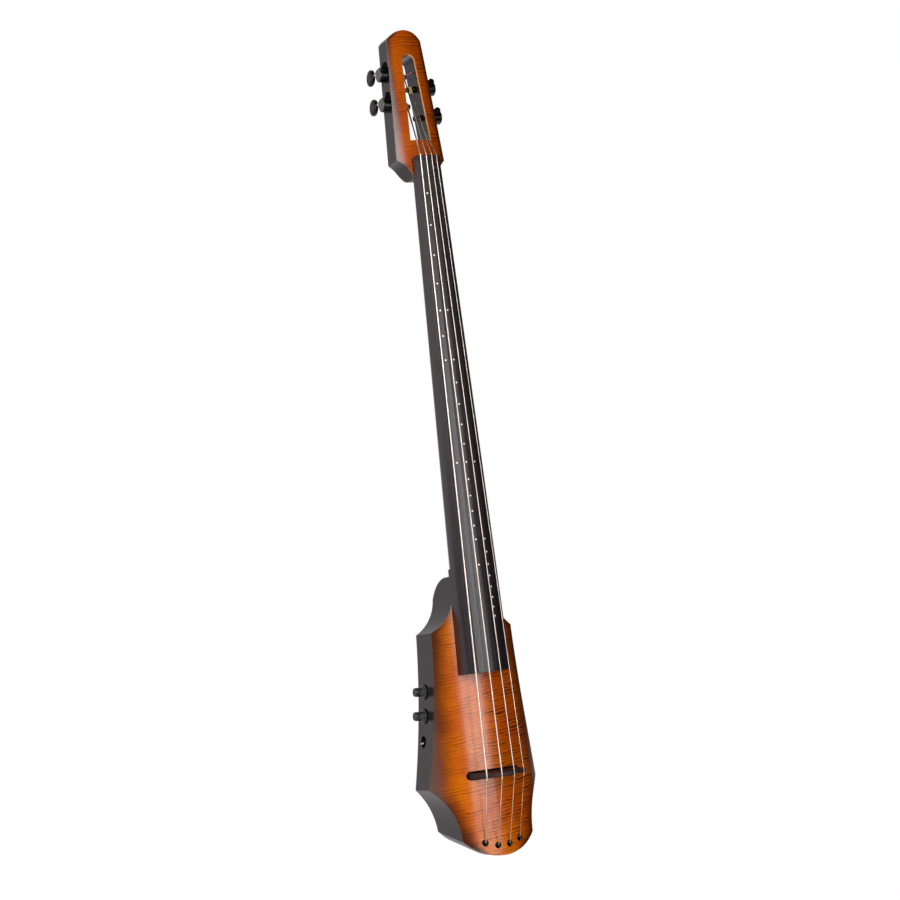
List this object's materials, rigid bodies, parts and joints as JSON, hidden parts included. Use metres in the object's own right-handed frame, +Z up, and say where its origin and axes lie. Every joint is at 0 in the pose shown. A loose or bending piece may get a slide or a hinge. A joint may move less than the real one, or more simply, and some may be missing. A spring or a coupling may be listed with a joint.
{
  "type": "electric upright double bass",
  "caption": "Solid-body electric upright double bass with arched flamed front, ebony fingerboard, slotted head with worm tuners, side controls and a stand socket.",
  "frame": {"origin": "centre of the mouth of the stand bolt hole in the flat back of the body", "axes": "+Z up along the strings toward the head, strings and fingerboard face -Y, +X is the treble side, millimetre design at real size"},
  "size_m": [0.2081, 0.1651, 1.4409],
  "materials": {
    "black_chrome": "black chrome",
    "black_plastic": "moulded",
    "black_satin": "satin black lacquer on wood",
    "board_green": "coated board",
    "brass": "machined",
    "cap_metal": "smoked steel",
    "ebony": "oiled ebony",
    "flamed_maple": "amber to red-brown burst, satin lacquer over figured maple",
    "knob_black": "satin black",
    "pearl_dot": "polished",
    "steel": "plain",
    "string_steel": "wound steel"
  },
  "bodies": {
    "instrument": {"body_core": "black_satin", "body_top": "flamed_maple", "neck": "black_satin", "head_plate": "flamed_maple", "fingerboard": "ebony", "position_dots": "pearl_dot", "nut": "ebony", "truss_rod": "steel", "bridge": "ebony", "bridge_pickup": "black_plastic", "pickup_lead": "black_plastic", "string_e": "string_steel", "string_a": "string_steel", "string_d": "string_steel", "string_g": "string_steel", "string_ferrules": "black_chrome", "string_anchors": "steel", "volume_pot": "steel", "tone_pot": "steel", "mode_switch": "steel", "output_jack": "black_plastic", "circuit_board": "board_green", "cavity_cover": "black_satin", "cover_screws": "steel", "stand_socket": "brass", "tuner_screws": "black_chrome", "housing_e": "black_chrome", "housing_a": "black_chrome", "housing_d": "black_chrome", "housing_g": "black_chrome", "cap_e": "cap_metal", "cap_a": "cap_metal", "cap_d": "cap_metal", "cap_g": "cap_metal"},
    "key_turn_e": {"worm_e": "steel", "key_e": "black_chrome"},
    "post_turn_e": {"gear_e": "brass", "post_e": "black_chrome", "coil_e": "string_steel"},
    "key_turn_a": {"worm_a": "steel", "key_a": "black_chrome"},
    "post_turn_a": {"gear_a": "brass", "post_a": "black_chrome", "coil_a": "string_steel"},
    "key_turn_d": {"worm_d": "steel", "key_d": "black_chrome"},
    "post_turn_d": {"gear_d": "brass", "post_d": "black_chrome", "coil_d": "string_steel"},
    "key_turn_g": {"worm_g": "steel", "key_g": "black_chrome"},
    "post_turn_g": {"gear_g": "brass", "post_g": "black_chrome", "coil_g": "string_steel"},
    "volume_control": {"volume_shaft": "steel", "volume_knob": "knob_black"},
    "tone_control": {"tone_shaft": "steel", "tone_knob": "knob_black"},
    "lever": {"switch_lever": "steel"}
  },
  "joints": [
    {"name": "key_spin_e", "type": "hinge", "parent": "instrument", "child": "key_turn_e", "pos_m": [-0.04619, -0.08589, 1.14239], "axis": [0, 1, 0], "continuous": true},
    {"name": "post_spin_e", "type": "hinge", "parent": "instrument", "child": "post_turn_e", "pos_m": [-0.04677, -0.08589, 1.13241], "axis": [-0.9983, 0, 0.0584], "continuous": true},
    {"name": "key_spin_a", "type": "hinge", "parent": "instrument", "child": "key_turn_a", "pos_m": [-0.04294, -0.08099, 1.19789], "axis": [0, 1, 0], "continuous": true},
    {"name": "post_spin_a", "type": "hinge", "parent": "instrument", "child": "post_turn_a", "pos_m": [-0.04353, -0.08099, 1.18791], "axis": [-0.9983, 0, 0.0584], "continuous": true},
    {"name": "key_spin_d", "type": "hinge", "parent": "instrument", "child": "key_turn_d", "pos_m": [0.04435, -0.08311, 1.17389], "axis": [0, 1, 0], "continuous": true},
    {"name": "post_spin_d", "type": "hinge", "parent": "instrument", "child": "post_turn_d", "pos_m": [0.04493, -0.08311, 1.16391], "axis": [0.9983, 0, 0.0584], "continuous": true},
    {"name": "key_spin_g", "type": "hinge", "parent": "instrument", "child": "key_turn_g", "pos_m": [0.04748, -0.08784, 1.12039], "axis": [0, 1, 0], "continuous": true},
    {"name": "post_spin_g", "type": "hinge", "parent": "instrument", "child": "post_turn_g", "pos_m": [0.04806, -0.08784, 1.11041], "axis": [0.9983, 0, 0.0584], "continuous": true},
    {"name": "volume_turn", "type": "hinge", "parent": "instrument", "child": "volume_control", "pos_m": [-0.08152, -0.03299, 0.111], "axis": [-0.9968, 0, 0.0801], "range_deg": [-150, 150]},
    {"name": "tone_turn", "type": "hinge", "parent": "instrument", "child": "tone_control", "pos_m": [-0.08532, -0.02999, 0.07], "axis": [-0.9945, 0, 0.1044], "range_deg": [-150, 150]},
    {"name": "switch_throw", "type": "hinge", "parent": "instrument", "child": "lever", "pos_m": [-0.07948, -0.02499, 0.02557], "axis": [0, 1, 0], "range_deg": [0, 24]}
  ],
  "couplings": [
    {"joint": "post_spin_e", "follows": "key_spin_e", "ratio": 0.05},
    {"joint": "post_spin_a", "follows": "key_spin_a", "ratio": 0.05},
    {"joint": "post_spin_d", "follows": "key_spin_d", "ratio": 0.05},
    {"joint": "post_spin_g", "follows": "key_spin_g", "ratio": 0.05}
  ]
}
